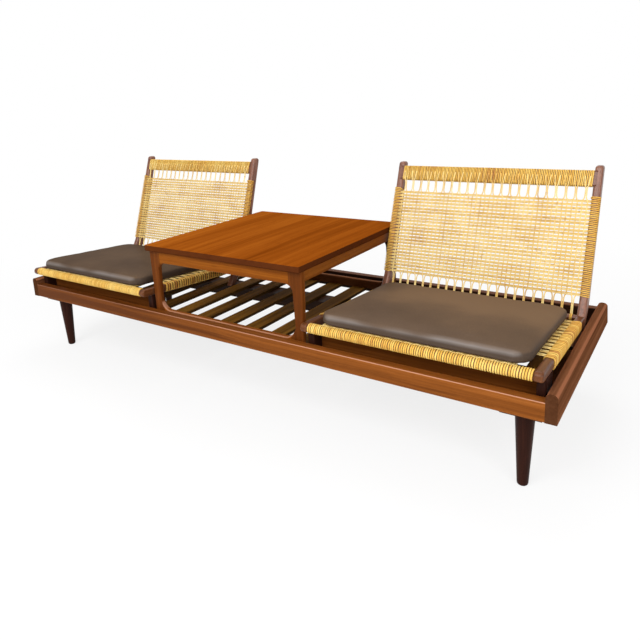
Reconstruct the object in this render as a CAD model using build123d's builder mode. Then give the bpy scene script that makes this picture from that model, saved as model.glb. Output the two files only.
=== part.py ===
from math import cos, radians, sin, tan
import os

from build123d import *

os.makedirs("parts", exist_ok=True)

# Fits
dowel_clearance = 0.1
joint_clearance = 0.3
module_clearance = 0.5
wrap_clearance = 0.1

# Tray
tray_length = 1850.0
tray_depth = 640.0
tray_underside = 205.0
rail_height = 45.0
rail_thickness = 27.0
rail_edge_radius = 3.0
end_rail_thickness = 25.0
end_rail_height = 67.0
end_rail_edge_radius = 11.0
end_rail_rear_slope = 28.0
ledger_width = 25.0
ledger_thickness = 9.0
slat_count = 18
slat_foot_gap = 1.25
slat_outer_gap = 13.25
slat_inner_gap = 28.25
slat_width = 49.0
slat_thickness = 10.0
slat_edge_chamfer = 1.0
beam_width = 66.0
beam_height = 40.0
beam_setback = 396.0
cleat_width = 90.0
cleat_thickness = 16.0
tray_dowel_diameter = 10.0
tray_dowel_in_rail = 25.0
tray_dowel_in_end_rail = 15.0
tray_dowel_spacing = 19.0

# Legs
leg_end_setback = 80.0
leg_setback = 70.0
leg_top_diameter = 45.0
leg_foot_diameter = 25.0
leg_foot_radius = 6.0
leg_plate_size = 64.0
leg_plate_thickness = 3.0
leg_bolt_diameter = 8.0
leg_bolt_in_leg = 35.0
leg_bolt_in_cleat = 13.0

# Chairs
nose_overhang = 7.0
chair_end_gap = 2.4
chair_table_gap = 5.4
frame_width = 21.0
frame_edge_radius = 3.0
upright_edge_radius = 7.0
seat_rail_height = 24.0
seat_rail_edge_radius = 5.0
seat_front_height = 303.0
seat_slope = 4.0
bend_setback = 462.0
bend_height = 322.0
back_recline = 19.5
back_length = 360.0
bend_depth = 40.0
bend_radius = 60.0
upright_top_depth = 30.0
upright_top_radius = 9.0
rear_foot_setback = 392.5
rear_foot_depth = 32.0
slot_setback = 14.0
slot_width = 4.5
slot_start = 6.0
slot_length = 274.0
slot_end_gap = 2.0
front_foot_width = 20.0
front_foot_depth = 56.0
front_foot_edge_radius = 3.0
front_stretcher_thickness = 18.0
front_stretcher_height = 56.0
front_stretcher_setback = 36.0
front_stretcher_tenon = 8.0
front_stretcher_lift = 4.0
front_bar_diameter = 22.0
front_bar_tenon_diameter = 14.0
bar_tenon_length = 6.0
rear_bar_diameter = 16.0
rear_bar_drop = 47.0
rear_bar_setback = 15.0
top_bar_height = 42.0
top_bar_thickness = 12.0
top_bar_edge_radius = 4.0
top_bar_start = 305.0
top_bar_depth = 6.0
top_bar_tenon = 8.0
chair_dowel_diameter = 8.0
chair_dowel_length = 36.0
foot_dowel_setback = 22.0

# Cane
wrap_thickness = 2.0
front_wrap_thickness = 2.5
wrap_pitch = 5.0
wrap_groove = 0.8
rail_wrap_start = 86.0
rail_wrap_length = 302.0
cane_thickness = 3.5
cane_rise = 0.9
cane_hem = 4.0
cane_lap = 1.2
warp_pair_count = 22
warp_pair_width = 8.0
back_field_start = 5.0
back_field_end = 279.0
back_cane_drop = 40.0
net_columns = 11
net_rows = 12
net_gap_share = 0.52
seat_cane_start = 22.0
seat_cane_end = 440.0
seat_gap_count = 24
seat_gap_length = 24.0
seat_gap_width = 6.0

# Pads
pad_side_gap = 10.4
pad_depth = 400.0
pad_setback = 6.0
pad_rest_gap = 0.3
pad_corner_radius = 34.0
pad_side_height = 26.0
pad_crown = 10.0
pad_draw_in = 9.0
# Each layer's height as a share of the side or crown, and its inset as a share
# of the draw-in or of the pad's depth
pad_side_layers = ((0.0, 0.6), (0.25, 0.2), (0.5, 0.0), (0.8, 0.2), (1.0, 1.0))
pad_crown_layers = ((0.65, 0.15), (1.0, 0.36))
left_pad_shift = 0.0
right_pad_shift = 8.0

# Table
table_width = 582.0
table_rear_setback = 46.0
table_height = 459.0
table_setback = 12.0
table_top_thickness = 18.0
table_edge_bevel = 3.0
table_corner_radius = 5.0
loop_thickness = 17.0
loop_inset = 2.0
loop_taper = 5.0
loop_leg_top = 35.0
loop_leg_foot = 25.0
loop_top_rail = 39.0
loop_bottom_rail = 28.0
loop_top_radius = 24.0
loop_bottom_radius = 36.0
loop_edge_radius = 5.0
apron_thickness = 18.0
apron_height = 30.0
apron_inset = 7.0
corner_block_size = 36.0
corner_block_height = 22.0
table_screw_diameter = 5.0
table_screw_head = 9.0
table_screw_head_height = 3.0
table_screw_in_top = 12.0

# Places worked out from the sizes
front_y = -(tray_depth - nose_overhang) / 2
rear_y = front_y + tray_depth
end_rail_inner_x = tray_length / 2 - end_rail_thickness
rail_inner_front_y = front_y + rail_thickness
rail_inner_rear_y = rear_y - rail_thickness
tray_inner_depth = tray_depth - 2 * rail_thickness
ledger_top = tray_underside + ledger_thickness
slat_top = ledger_top + slat_thickness
cleat_underside = tray_underside - cleat_thickness
leg_top = cleat_underside - leg_plate_thickness
leg_x = tray_length / 2 - leg_end_setback
leg_y = tray_depth / 2 - leg_setback
tray_middle_y = (front_y + rear_y) / 2
leg_places = [
    (sx * leg_x, tray_middle_y + sy * leg_y) for sy in (-1, 1) for sx in (-1, 1)
]

slope = radians(seat_slope)
recline = radians(back_recline)
nose_radius = seat_rail_height / 2
nose_y = front_y - nose_overhang + nose_radius
front_wrap_radius = front_bar_diameter / 2 + wrap_clearance + front_wrap_thickness
front_bar_y = nose_y + front_wrap_radius - nose_radius
bend_front = (front_y + bend_setback, bend_height)
bend_rear = (
    bend_front[0] + bend_depth * cos(recline),
    bend_front[1] - bend_depth * sin(recline),
)
top_front = (
    bend_front[0] + back_length * sin(recline),
    bend_front[1] + back_length * cos(recline),
)
top_rear = (top_front[0] + upright_top_depth, top_front[1])
foot_front = (front_y + rear_foot_setback, ledger_top)
foot_rear = (foot_front[0] + rear_foot_depth, ledger_top)
lower_lean = (bend_front[0] - foot_front[0]) / (bend_front[1] - foot_front[1])
rear_bar_y = bend_front[0] - rear_bar_setback
rear_bar_z = bend_front[1] - rear_bar_drop
front_foot_y = rail_inner_front_y + module_clearance
sleeve = wrap_clearance + wrap_thickness
side_sleeve = frame_width / 2 + sleeve
chair_outer_x = end_rail_inner_x - chair_end_gap - side_sleeve
chair_inner_x = table_width / 2 + chair_table_gap + side_sleeve
chair_centre = (chair_outer_x + chair_inner_x) / 2
chair_frame_spacing = chair_outer_x - chair_inner_x
frame_span = chair_frame_spacing - frame_width
stretcher_span = chair_frame_spacing - front_foot_width


# Height at y of the line that runs above the seat rail's axis by rise.
def seat_height(y, rise):
    return seat_front_height - (y - nose_y) * tan(slope) + rise / cos(slope)


# Point where that line meets the front of the upright's lower part.
def rail_end(rise):
    start = seat_height(nose_y, rise)
    drop = tan(slope)
    y = foot_front[0] + (start + drop * nose_y - foot_front[1]) * lower_lean
    y = y / (1 + drop * lower_lean)
    return (y, seat_height(y, rise))


# Plane parallel to the seat, with local y running to the back.
def seat_plane(x, y, rise):
    return Plane(
        origin=(x, y, seat_height(y, rise)),
        x_dir=(1, 0, 0),
        z_dir=(0, sin(slope), cos(slope)),
    )


# Plane square to the seat rail's axis, with local z running to the back.
def rail_section(x, y):
    return Plane(
        origin=(x, y, seat_height(y, 0)),
        x_dir=(1, 0, 0),
        z_dir=(0, cos(slope), -sin(slope)),
    )


# Plane square to the upright, local z up the back and local y to the rear.
def back_section(x, along):
    return Plane(
        origin=(
            x,
            bend_front[0] + along * sin(recline),
            bend_front[1] + along * cos(recline),
        ),
        x_dir=(1, 0, 0),
        z_dir=(0, sin(recline), cos(recline)),
    )


# Plane parallel to the back, with local y up it and local z to the front.
def back_plane(x, depth):
    return Plane(
        origin=(
            x,
            bend_front[0] + depth * cos(recline),
            bend_front[1] - depth * sin(recline),
        ),
        x_dir=(1, 0, 0),
        z_dir=(0, -cos(recline), sin(recline)),
    )


# Plane of a side view, from which a piece of that width is extruded.
def side_plane(x, width):
    return Plane.YZ.offset(x - width / 2)


def save(builder, name):
    builder.part.label = name
    export_step(builder.part, f"parts/{name}.step")


# Tray frame
tray_dowel_y = (front_y + rail_thickness / 2, rear_y - rail_thickness / 2)
tray_dowel_z = [
    tray_underside + rail_height / 2 + side * tray_dowel_spacing / 2 for side in (-1, 1)
]


def tray_dowel_places(ys):
    return [
        Plane(origin=(sx * end_rail_inner_x, y, z), z_dir=(sx, 0, 0))
        for sx in (-1, 1)
        for y in ys
        for z in tray_dowel_z
    ]


tray_dowel_length = tray_dowel_in_rail + tray_dowel_in_end_rail
tray_dowel_middle = (tray_dowel_in_end_rail - tray_dowel_in_rail) / 2


def tray_rail(name, y):
    with BuildPart() as rail:
        with Locations((0, y, tray_underside + rail_height / 2)):
            Box(2 * end_rail_inner_x, rail_thickness, rail_height)
        fillet(rail.edges().filter_by(Axis.X), rail_edge_radius)
        with Locations(*[p.offset(tray_dowel_middle) for p in tray_dowel_places([y])]):
            Cylinder(
                tray_dowel_diameter / 2 + dowel_clearance,
                tray_dowel_length,
                mode=Mode.SUBTRACT,
            )
    save(rail, name)


tray_rail("front_rail", tray_dowel_y[0])
tray_rail("rear_rail", tray_dowel_y[1])


def end_rail(name, side):
    top = tray_underside + end_rail_height
    with BuildPart() as rail:
        with BuildSketch(side_plane(side * (tray_length - end_rail_thickness) / 2, end_rail_thickness)):
            with BuildLine():
                Polyline(
                    (front_y, tray_underside),
                    (front_y, top),
                    (rear_y - end_rail_rear_slope, top),
                    (rear_y, tray_underside),
                    close=True,
                )
            make_face()
        extrude(amount=end_rail_thickness)
        fillet(rail.faces().sort_by(Axis.Z)[-1].edges().filter_by(Axis.Y), end_rail_edge_radius)
        with Locations(*[p.offset(tray_dowel_middle) for p in tray_dowel_places(tray_dowel_y)]):
            Cylinder(
                tray_dowel_diameter / 2 + dowel_clearance,
                tray_dowel_length,
                mode=Mode.SUBTRACT,
            )
    save(rail, name)


end_rail("left_end_rail", -1)
end_rail("right_end_rail", 1)

with BuildPart() as tray_dowels:
    with Locations(*[p.offset(tray_dowel_middle) for p in tray_dowel_places(tray_dowel_y)]):
        Cylinder(tray_dowel_diameter / 2, tray_dowel_length)
save(tray_dowels, "tray_dowels")

# Slats and what carries them
for ledger_name, ledger_y in (
    ("front_ledger", rail_inner_front_y + ledger_width / 2),
    ("rear_ledger", rail_inner_rear_y - ledger_width / 2),
):
    with BuildPart() as ledger:
        with Locations((0, ledger_y, tray_underside + ledger_thickness / 2)):
            Box(2 * end_rail_inner_x, ledger_width, ledger_thickness)
    save(ledger, ledger_name)

beam_y = front_y + beam_setback + beam_width / 2
beam_rebate_x = leg_x - cleat_width / 2 - joint_clearance
beam_rebate_length = end_rail_inner_x - beam_rebate_x
beam_rebate_height = beam_height - ledger_thickness
with BuildPart() as slat_beam:
    with Locations((0, beam_y, ledger_top - beam_height / 2)):
        Box(2 * end_rail_inner_x, beam_width, beam_height)
    with Locations(
        *[
            (
                side * (beam_rebate_x + beam_rebate_length / 2),
                beam_y,
                tray_underside - beam_rebate_height / 2,
            )
            for side in (-1, 1)
        ]
    ):
        Box(beam_rebate_length, beam_width, beam_rebate_height, mode=Mode.SUBTRACT)
save(slat_beam, "slat_beam")

slat_length = tray_inner_depth - 2 * joint_clearance
slats_per_group = slat_count // 3
# Where each group of slats starts and ends along X, clear of the chairs' feet
inner_foot_reach = chair_inner_x - front_foot_width / 2 - slat_inner_gap
side_group_start = chair_inner_x + front_foot_width / 2 + slat_foot_gap
side_group_end = chair_outer_x - front_foot_width / 2 - slat_outer_gap
slat_groups = {
    "slats_left": (-side_group_end, -side_group_start),
    "slats_middle": (-inner_foot_reach, inner_foot_reach),
    "slats_right": (side_group_start, side_group_end),
}
for slats_name, (group_start, group_end) in slat_groups.items():
    slat_pitch = (group_end - group_start - slat_width) / (slats_per_group - 1)
    with BuildPart() as slats:
        for place in range(slats_per_group):
            slat_x = group_start + slat_width / 2 + place * slat_pitch
            with Locations((slat_x, tray_middle_y, ledger_top + slat_thickness / 2)):
                Box(slat_width, slat_length, slat_thickness)
        chamfer(slats.edges().filter_by(Axis.Y).group_by(Axis.Z)[-1], slat_edge_chamfer)
    save(slats, slats_name)

# Legs and their fixings
for cleat_name, side in (("left_leg_cleat", -1), ("right_leg_cleat", 1)):
    with BuildPart() as cleat:
        with Locations((side * leg_x, tray_middle_y, tray_underside - cleat_thickness / 2)):
            Box(cleat_width, tray_inner_depth, cleat_thickness)
        with Locations(*[(x, y, cleat_underside) for x, y in leg_places if x * side > 0]):
            Cylinder(
                leg_bolt_diameter / 2 + dowel_clearance,
                leg_bolt_in_cleat,
                align=(Align.CENTER, Align.CENTER, Align.MIN),
                mode=Mode.SUBTRACT,
            )
    save(cleat, cleat_name)

leg_names = ("front_left_leg", "front_right_leg", "rear_left_leg", "rear_right_leg")
for leg_name, (x, y) in zip(leg_names, leg_places):
    with BuildPart() as leg:
        with Locations((x, y, 0)):
            Cone(
                leg_foot_diameter / 2,
                leg_top_diameter / 2,
                leg_top,
                align=(Align.CENTER, Align.CENTER, Align.MIN),
            )
        fillet(leg.faces().sort_by(Axis.Z)[0].edges(), leg_foot_radius)
        with Locations((x, y, leg_top)):
            Cylinder(
                leg_bolt_diameter / 2 + dowel_clearance,
                leg_bolt_in_leg,
                align=(Align.CENTER, Align.CENTER, Align.MAX),
                mode=Mode.SUBTRACT,
            )
    save(leg, leg_name)

with BuildPart() as leg_plates:
    with Locations(*[(x, y, leg_top + leg_plate_thickness / 2) for x, y in leg_places]):
        Box(leg_plate_size, leg_plate_size, leg_plate_thickness)
        Cylinder(
            leg_bolt_diameter / 2 + dowel_clearance, leg_plate_thickness, mode=Mode.SUBTRACT
        )
save(leg_plates, "leg_plates")

leg_bolt_length = leg_bolt_in_leg + leg_plate_thickness + leg_bolt_in_cleat
with BuildPart() as leg_bolts:
    with Locations(*[(x, y, leg_top - leg_bolt_in_leg) for x, y in leg_places]):
        Cylinder(
            leg_bolt_diameter / 2,
            leg_bolt_length,
            align=(Align.CENTER, Align.CENTER, Align.MIN),
        )
save(leg_bolts, "leg_bolts")


# Chair joints
foot_dowel_y = front_foot_y + foot_dowel_setback


# Places of the two dowels of one side: rail to upright, and front foot to rail.
def chair_dowel_places(x):
    joint_y, joint_z = rail_end(0)
    return [
        Plane(origin=(x, joint_y, joint_z), z_dir=(0, cos(slope), -sin(slope))),
        Plane(origin=(x, foot_dowel_y, seat_height(foot_dowel_y, -nose_radius))),
    ]


def cut_dowel_holes(x):
    with Locations(*chair_dowel_places(x)):
        Cylinder(
            chair_dowel_diameter / 2 + dowel_clearance, chair_dowel_length, mode=Mode.SUBTRACT
        )


# A blind hole along X, from the face of a side that looks towards the chair's middle.
def cut_bar_hole(x, toward, y, z, diameter):
    face_x = x + toward * frame_width / 2
    with Locations(Plane(origin=(face_x, y, z), z_dir=(-toward, 0, 0))):
        Cylinder(
            diameter / 2 + dowel_clearance,
            bar_tenon_length,
            align=(Align.CENTER, Align.CENTER, Align.MIN),
            mode=Mode.SUBTRACT,
        )


def seat_rail(name, x, toward):
    top = (nose_y + nose_radius * sin(slope), seat_front_height + nose_radius * cos(slope))
    tip = (nose_y - nose_radius * cos(slope), seat_front_height + nose_radius * sin(slope))
    low = (nose_y - nose_radius * sin(slope), seat_front_height - nose_radius * cos(slope))
    with BuildPart() as rail:
        with BuildSketch(side_plane(x, frame_width)):
            with BuildLine():
                ThreePointArc(top, tip, low)
                Polyline(low, rail_end(-nose_radius), rail_end(nose_radius), top)
            make_face()
        extrude(amount=frame_width)
        joint_face = rail.faces().sort_by(Axis.Y)[-1]
        sides = rail.faces().filter_by(Axis.X).edges()
        fillet(sides - joint_face.edges(), seat_rail_edge_radius)
        cut_bar_hole(x, toward, front_bar_y, seat_front_height, front_bar_tenon_diameter)
        cut_dowel_holes(x)
    save(rail, name)


top_bar_middle = top_bar_start + top_bar_height / 2


def upright(name, x, toward):
    with BuildPart() as post:
        with BuildSketch(side_plane(x, frame_width)) as outline:
            with BuildLine():
                Polyline(
                    foot_front, bend_front, top_front, top_rear, bend_rear, foot_rear, close=True
                )
            make_face()
            bends = outline.vertices().sort_by(Axis.Y)[2:4]
            fillet(bends, bend_radius)
            fillet(outline.vertices().sort_by(Axis.Y)[-2:], upright_top_radius)
        extrude(amount=frame_width)
        low_face = post.faces().sort_by(Axis.Z)[0]
        sides = post.faces().filter_by(Axis.X).edges()
        fillet(sides - low_face.edges(), upright_edge_radius)
        with Locations(back_section(x, slot_start)):
            with Locations((0, slot_setback, 0)):
                Box(
                    frame_width,
                    slot_width,
                    slot_length,
                    align=(Align.CENTER, Align.MIN, Align.MIN),
                    mode=Mode.SUBTRACT,
                )
        with Locations(back_section(x + toward * frame_width / 2, top_bar_middle)):
            with Locations((0, top_bar_depth, 0)):
                Box(
                    2 * top_bar_tenon,
                    top_bar_thickness + 2 * dowel_clearance,
                    top_bar_height + 2 * dowel_clearance,
                    mode=Mode.SUBTRACT,
                )
        cut_bar_hole(x, toward, rear_bar_y, rear_bar_z, rear_bar_diameter)
        cut_dowel_holes(x)
    save(post, name)


front_stretcher_y = front_foot_y + front_stretcher_setback + front_stretcher_thickness / 2
front_stretcher_z = slat_top + front_stretcher_lift + front_stretcher_height / 2


def front_feet(name, sides):
    foot_rear_y = front_foot_y + front_foot_depth
    with BuildPart() as feet:
        for x in sides:
            with BuildSketch(side_plane(x, front_foot_width)):
                with BuildLine():
                    Polyline(
                        (front_foot_y, ledger_top),
                        (front_foot_y, seat_height(front_foot_y, -nose_radius)),
                        (foot_rear_y, seat_height(foot_rear_y, -nose_radius)),
                        (foot_rear_y, ledger_top),
                        close=True,
                    )
                make_face()
            extrude(amount=front_foot_width)
        fillet(feet.edges().filter_by(Axis.Z), front_foot_edge_radius)
        with Locations((sum(sides) / 2, front_stretcher_y, front_stretcher_z)):
            Box(
                stretcher_span + 2 * front_stretcher_tenon,
                front_stretcher_thickness + 2 * dowel_clearance,
                front_stretcher_height + 2 * dowel_clearance,
                mode=Mode.SUBTRACT,
            )
        for x in sides:
            cut_dowel_holes(x)
    save(feet, name)


def front_stretcher(name, x):
    with BuildPart() as stretcher:
        with Locations((x, front_stretcher_y, front_stretcher_z)):
            Box(
                stretcher_span + 2 * (front_stretcher_tenon - joint_clearance),
                front_stretcher_thickness,
                front_stretcher_height,
            )
    save(stretcher, name)


def front_bar(name, x):
    with BuildPart() as bar:
        with Locations((x, front_bar_y, seat_front_height)):
            Cylinder(front_bar_diameter / 2, frame_span, rotation=(0, 90, 0))
            Cylinder(
                front_bar_tenon_diameter / 2,
                frame_span + 2 * (bar_tenon_length - joint_clearance),
                rotation=(0, 90, 0),
            )
    save(bar, name)


def rear_bar(name, x):
    with BuildPart() as bar:
        with Locations((x, rear_bar_y, rear_bar_z)):
            Cylinder(
                rear_bar_diameter / 2,
                frame_span + 2 * (bar_tenon_length - joint_clearance),
                rotation=(0, 90, 0),
            )
    save(bar, name)


def top_bar(name, x):
    with BuildPart() as bar:
        with Locations(back_section(x, top_bar_middle)):
            with Locations((0, top_bar_depth, 0)):
                Box(
                    frame_span + 2 * (top_bar_tenon - joint_clearance),
                    top_bar_thickness,
                    top_bar_height,
                )
        fillet(bar.edges().filter_by(Axis.X), top_bar_edge_radius)
    save(bar, name)


def chair_dowels(name, sides):
    with BuildPart() as dowels:
        for x in sides:
            with Locations(*chair_dowel_places(x)):
                Cylinder(chair_dowel_diameter / 2, chair_dowel_length - 2 * joint_clearance)
    save(dowels, name)


# Cane wound round the bars and sides
def top_bar_wrap(name, x):
    with BuildPart() as wrap:
        with Locations(back_section(x, top_bar_middle)):
            with Locations((0, top_bar_depth, 0)):
                Box(
                    frame_span,
                    top_bar_thickness + 2 * sleeve,
                    top_bar_height + 2 * sleeve,
                )
        fillet(wrap.edges().filter_by(Axis.X), top_bar_edge_radius + wrap_thickness)
        with Locations(back_section(x, top_bar_middle)):
            with Locations((0, top_bar_depth, 0)):
                Box(
                    frame_span,
                    top_bar_thickness + 2 * wrap_clearance,
                    top_bar_height + 2 * wrap_clearance,
                    mode=Mode.SUBTRACT,
                )
    save(wrap, name)


# The turns of the front wrap show as ribs, one for each turn of the cane.
def front_bar_wrap(name, x):
    start = -frame_span / 2
    turns = int(frame_span // wrap_pitch)
    pitch = frame_span / turns
    valley = front_wrap_radius - wrap_groove
    bore = front_bar_diameter / 2 + wrap_clearance
    ribs = [(start, bore), (start, valley)]
    for turn in range(turns):
        begin = start + turn * pitch
        ribs.append((begin + pitch / 4, front_wrap_radius))
        ribs.append((begin + pitch * 3 / 4, front_wrap_radius))
        ribs.append((begin + pitch, valley))
    ribs.append((-start, bore))
    axis_plane = Plane(
        origin=(x, front_bar_y, seat_front_height), x_dir=(1, 0, 0), z_dir=(0, -1, 0)
    )
    with BuildPart() as wrap:
        with BuildSketch(axis_plane):
            with BuildLine():
                Polyline(*ribs, close=True)
            make_face()
        revolve(axis=Axis((x, front_bar_y, seat_front_height), (1, 0, 0)))
    save(wrap, name)


def rail_wraps(name, sides):
    with BuildPart() as wraps:
        for x in sides:
            with BuildSketch(rail_section(x, front_y + rail_wrap_start)):
                RectangleRounded(
                    frame_width + 2 * sleeve,
                    seat_rail_height + 2 * sleeve,
                    seat_rail_edge_radius + wrap_thickness,
                )
                RectangleRounded(
                    frame_width + 2 * wrap_clearance,
                    seat_rail_height + 2 * wrap_clearance,
                    seat_rail_edge_radius,
                    mode=Mode.SUBTRACT,
                )
            extrude(amount=rail_wrap_length)
    save(wraps, name)


def upright_wraps(name, sides):
    with BuildPart() as wraps:
        for x in sides:
            with BuildSketch(back_section(x, slot_start + slot_end_gap)):
                with Locations((0, slot_setback / 2)):
                    RectangleRounded(
                        frame_width + 2 * sleeve,
                        slot_setback + 2 * sleeve,
                        frame_edge_radius + wrap_thickness,
                    )
                    Rectangle(
                        frame_width + 2 * wrap_clearance,
                        slot_setback + 2 * wrap_clearance,
                        mode=Mode.SUBTRACT,
                    )
            extrude(amount=slot_length - 2 * slot_end_gap)
    save(wraps, name)


# Woven back, a plain net with bare pairs of strands above and below it
def back_cane(name, x):
    width = chair_frame_spacing - 2 * side_sleeve
    pitch = width / warp_pair_count
    low = -back_cane_drop
    high = top_bar_start - sleeve
    net_width = width / net_columns
    net_height = (back_field_end - back_field_start) / net_rows
    with BuildPart() as cane:
        with BuildSketch(back_plane(x, cane_thickness - sleeve)):
            with Locations((0, (low + high) / 2)):
                Rectangle(width, high - low)
            for start, end in (
                (low + cane_hem, back_field_start),
                (back_field_end, high - cane_hem),
            ):
                with Locations((0, (start + end) / 2)):
                    with GridLocations(pitch, end - start, warp_pair_count, 1):
                        Rectangle(pitch - warp_pair_width, end - start, mode=Mode.SUBTRACT)
            with Locations((0, (back_field_start + back_field_end) / 2)):
                with GridLocations(net_width, net_height, net_columns, net_rows):
                    Rectangle(
                        net_width * net_gap_share, net_height * net_gap_share, mode=Mode.SUBTRACT
                    )
        extrude(amount=cane_thickness)
    save(cane, name)


# Woven seat, with open gaps between the strands beside each rail
def seat_cane(name, x):
    width = chair_frame_spacing - 2 * (side_sleeve - cane_lap)
    length = seat_cane_end - seat_cane_start
    pitch = rail_wrap_length / seat_gap_count
    gap_middle = rail_wrap_start + rail_wrap_length / 2 - seat_cane_start
    underside = nose_radius + sleeve + cane_rise - cane_thickness
    with BuildPart() as cane:
        with BuildSketch(seat_plane(x, front_y + seat_cane_start, underside)):
            with Locations((0, length / 2)):
                Rectangle(width, length)
            with Locations((0, gap_middle)):
                with GridLocations(
                    width - seat_gap_length - 2 * cane_hem, pitch, 2, seat_gap_count
                ):
                    Rectangle(seat_gap_length, seat_gap_width, mode=Mode.SUBTRACT)
        extrude(amount=cane_thickness)
    save(cane, name)


# Loose pad with a drawn-in side and a crowned top
def pad(name, x):
    base = nose_radius + sleeve + cane_rise + pad_rest_gap
    layers = [(high * pad_side_height, inset * pad_draw_in) for high, inset in pad_side_layers]
    for high, inset in pad_crown_layers:
        layers.append((pad_side_height + high * pad_crown, inset * pad_depth))
    pad_width = chair_frame_spacing - 2 * (side_sleeve + pad_side_gap)
    middle_y = front_y + pad_setback + pad_depth / 2
    with BuildPart() as cushion:
        for height, inset in layers:
            with BuildSketch(seat_plane(x, middle_y, base).offset(height)):
                RectangleRounded(pad_width - 2 * inset, pad_depth - 2 * inset, pad_corner_radius)
        loft(ruled=True)
    save(cushion, name)


def chair(side_name, side, pad_shift):
    centre = side * chair_centre
    outer = side * chair_outer_x
    inner = side * chair_inner_x
    for place, x in (("outer", outer), ("inner", inner)):
        toward = 1 if centre > x else -1
        seat_rail(f"{side_name}_chair_{place}_rail", x, toward)
        upright(f"{side_name}_chair_{place}_upright", x, toward)
    front_feet(f"{side_name}_chair_front_feet", (outer, inner))
    front_stretcher(f"{side_name}_chair_front_stretcher", centre)
    front_bar(f"{side_name}_chair_front_bar", centre)
    rear_bar(f"{side_name}_chair_rear_bar", centre)
    top_bar(f"{side_name}_chair_top_bar", centre)
    chair_dowels(f"{side_name}_chair_dowels", (outer, inner))
    top_bar_wrap(f"{side_name}_chair_top_bar_wrap", centre)
    front_bar_wrap(f"{side_name}_chair_front_bar_wrap", centre)
    rail_wraps(f"{side_name}_chair_rail_wraps", (outer, inner))
    upright_wraps(f"{side_name}_chair_upright_wraps", (outer, inner))
    back_cane(f"{side_name}_chair_back_cane", centre)
    seat_cane(f"{side_name}_chair_seat_cane", centre)
    pad(f"{side_name}_pad", centre + pad_shift)


chair("left", -1, left_pad_shift)
chair("right", 1, right_pad_shift)

# Table
table_underside = table_height - table_top_thickness
table_front_y = front_y + table_setback
table_depth = tray_depth - table_setback - table_rear_setback
table_y = table_front_y + table_depth / 2
front_loop_y = rail_inner_front_y + module_clearance
loop_setback = front_loop_y - table_front_y
rear_loop_y = table_front_y + table_depth - loop_setback - loop_thickness
apron_length = rear_loop_y - front_loop_y - loop_thickness
apron_y = (front_loop_y + loop_thickness + rear_loop_y) / 2
apron_x = table_width / 2 - apron_inset - apron_thickness / 2
block_x = apron_x - apron_thickness / 2 - corner_block_size / 2
block_reach = apron_length / 2 - corner_block_size / 2
block_places = [
    (sx * block_x, apron_y + sy * block_reach) for sx in (-1, 1) for sy in (-1, 1)
]

with BuildPart() as table_top:
    with Locations((0, table_y, table_underside + table_top_thickness / 2)):
        Box(table_width, table_depth, table_top_thickness)
    fillet(table_top.edges().filter_by(Axis.Z), table_corner_radius)
    chamfer(table_top.faces().sort_by(Axis.Z)[0].edges(), table_edge_bevel)
    with Locations(*[(x, y, table_underside) for x, y in block_places]):
        Cylinder(
            table_screw_diameter / 2 + dowel_clearance,
            table_screw_in_top,
            align=(Align.CENTER, Align.CENTER, Align.MIN),
            mode=Mode.SUBTRACT,
        )
save(table_top, "table_top")

loop_top_half = table_width / 2 - loop_inset
loop_foot_half = loop_top_half - loop_taper
loop_open_top = table_underside - loop_top_rail
loop_open_low = slat_top + loop_bottom_rail


# Closed frame with legs that narrow downwards and rounded corners inside
def loop(name, y):
    view = Plane(origin=(0, y + loop_thickness, 0), x_dir=(1, 0, 0), z_dir=(0, -1, 0))
    with BuildPart() as frame:
        with BuildSketch(view):
            with BuildLine():
                Polyline(
                    (-loop_foot_half, slat_top),
                    (loop_foot_half, slat_top),
                    (loop_top_half, table_underside),
                    (-loop_top_half, table_underside),
                    close=True,
                )
            make_face()
        extrude(amount=loop_thickness)
        with BuildSketch(view) as opening:
            with BuildLine():
                Polyline(
                    (loop_leg_foot - loop_foot_half, loop_open_low),
                    (loop_foot_half - loop_leg_foot, loop_open_low),
                    (loop_top_half - loop_leg_top, loop_open_top),
                    (loop_leg_top - loop_top_half, loop_open_top),
                    close=True,
                )
            make_face()
            fillet(opening.vertices().group_by(Axis.Y)[0], loop_bottom_radius)
            fillet(opening.vertices().group_by(Axis.Y)[-1], loop_top_radius)
        extrude(amount=loop_thickness, mode=Mode.SUBTRACT)
        flats = frame.faces().sort_by(Axis.Z)
        broad_sides = frame.faces().sort_by(Axis.Y)
        rims = broad_sides[0].edges() + broad_sides[-1].edges()
        fillet(rims - flats[0].edges() - flats[-1].edges(), loop_edge_radius)
    save(frame, name)


loop("table_front_loop", front_loop_y)
loop("table_rear_loop", rear_loop_y)

for apron_name, side in (("table_left_apron", -1), ("table_right_apron", 1)):
    with BuildPart() as apron:
        with Locations((side * apron_x, apron_y, table_underside - apron_height / 2)):
            Box(apron_thickness, apron_length, apron_height)
    save(apron, apron_name)

block_underside = table_underside - corner_block_height
with BuildPart() as table_corner_blocks:
    with Locations(*[(x, y, table_underside - corner_block_height / 2) for x, y in block_places]):
        Box(corner_block_size, corner_block_size, corner_block_height)
        Cylinder(
            table_screw_diameter / 2 + dowel_clearance, corner_block_height, mode=Mode.SUBTRACT
        )
save(table_corner_blocks, "table_corner_blocks")

with BuildPart() as table_screws:
    with Locations(*[(x, y, block_underside) for x, y in block_places]):
        Cylinder(
            table_screw_diameter / 2,
            corner_block_height + table_screw_in_top - joint_clearance,
            align=(Align.CENTER, Align.CENTER, Align.MIN),
        )
        Cylinder(
            table_screw_head / 2,
            table_screw_head_height,
            align=(Align.CENTER, Align.CENTER, Align.MAX),
        )
save(table_screws, "table_screws")
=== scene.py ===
import math
import random

import bmesh
import bpy
from mathutils import Matrix, Vector, noise


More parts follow.
